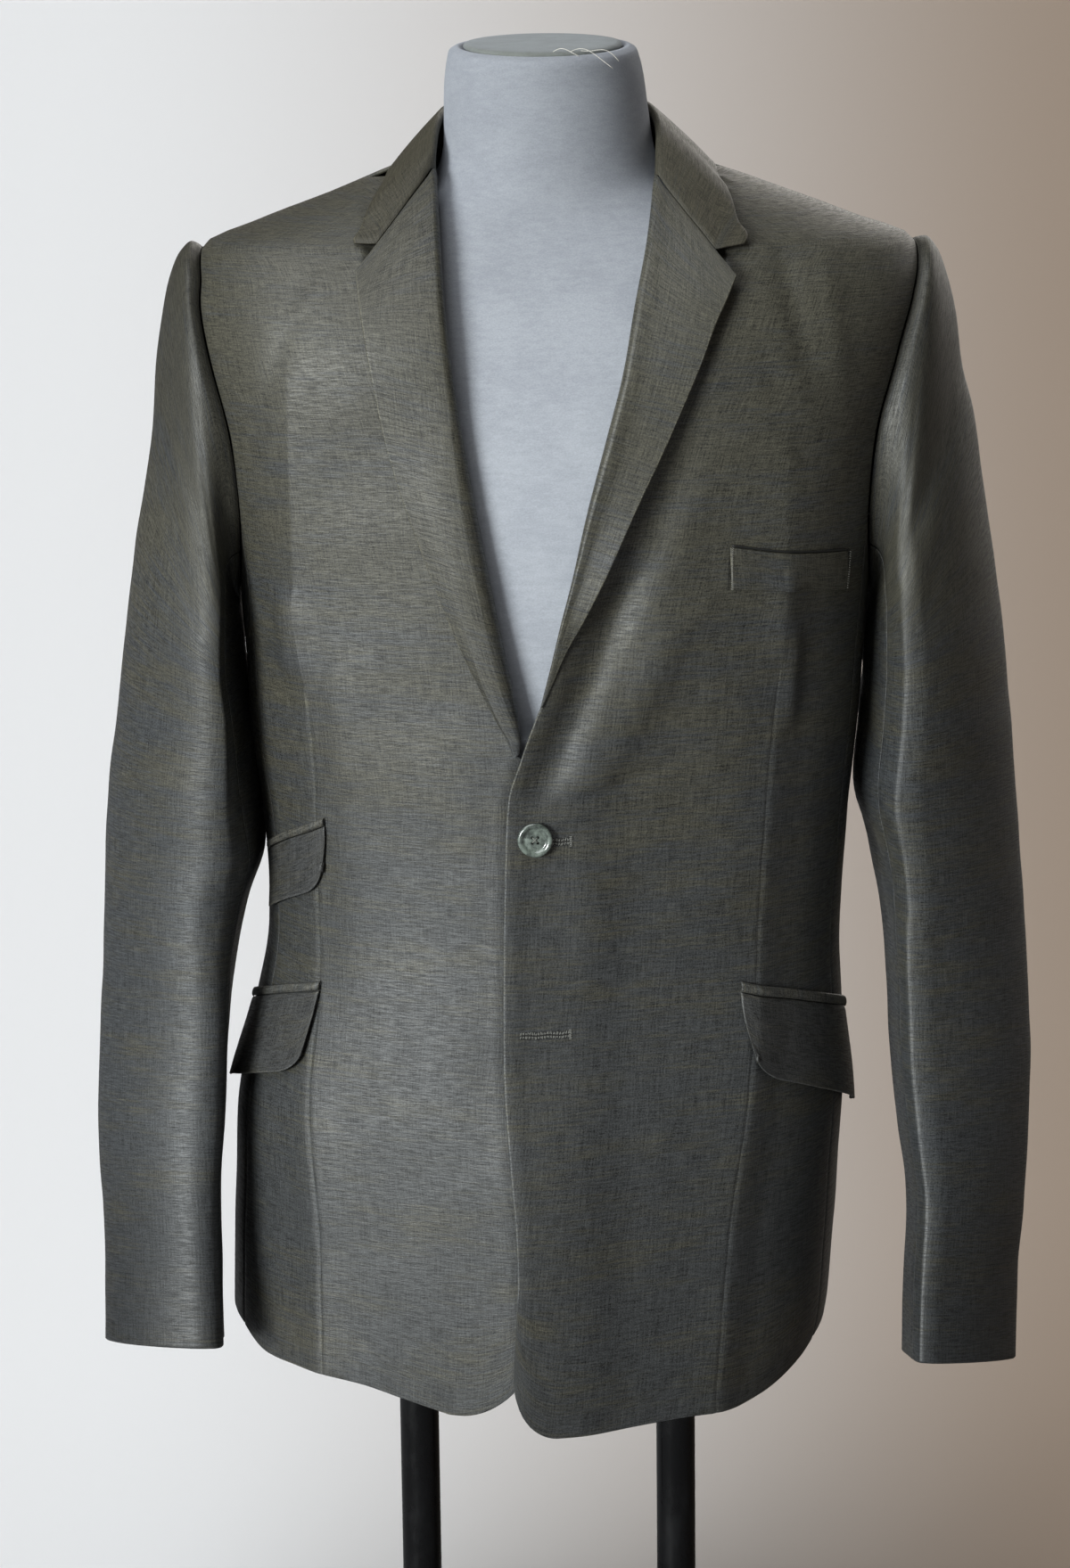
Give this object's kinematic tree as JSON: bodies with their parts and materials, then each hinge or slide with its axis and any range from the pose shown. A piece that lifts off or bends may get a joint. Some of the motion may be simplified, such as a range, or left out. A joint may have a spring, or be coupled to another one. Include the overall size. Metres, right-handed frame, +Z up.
{
  "type": "suit jacket on a dress form",
  "caption": "Single-breasted suit jacket with notched lapels, flapped pockets and long sleeves, worn on a limbless dress form that stands on two posts and a flat base.",
  "frame": {"origin": "middle of the object's outline seen from above, on the surface that the base stands on", "axes": "+Z up, -Y the way the jacket's front faces, +X the wearer's left"},
  "size_m": [0.569, 0.36, 1.0651],
  "materials": {
    "jacket_cloth": "satin, slubbed two-tone weave",
    "button_resin": "pearly gloss",
    "form_flock": "matte flock",
    "cap_flock": "matte flock",
    "black_steel": "gloss black"
  },
  "bodies": {
    "root": {"front_left": "jacket_cloth", "front_right": "jacket_cloth", "side_left": "jacket_cloth", "side_right": "jacket_cloth", "back_left": "jacket_cloth", "back_right": "jacket_cloth", "lapel_left": "jacket_cloth", "lapel_right": "jacket_cloth", "collar": "jacket_cloth", "sleeve_top_left": "jacket_cloth", "sleeve_top_right": "jacket_cloth", "sleeve_under_left": "jacket_cloth", "sleeve_under_right": "jacket_cloth", "breast_welt": "jacket_cloth", "flap_left": "jacket_cloth", "flap_right": "jacket_cloth", "flap_ticket": "jacket_cloth", "jet_left": "jacket_cloth", "jet_right": "jacket_cloth", "jet_ticket": "jacket_cloth", "button": "button_resin", "form_torso": "form_flock", "neck_cap": "cap_flock", "post_left": "black_steel", "post_right": "black_steel", "base_plate": "black_steel"}
  },
  "joints": []
}
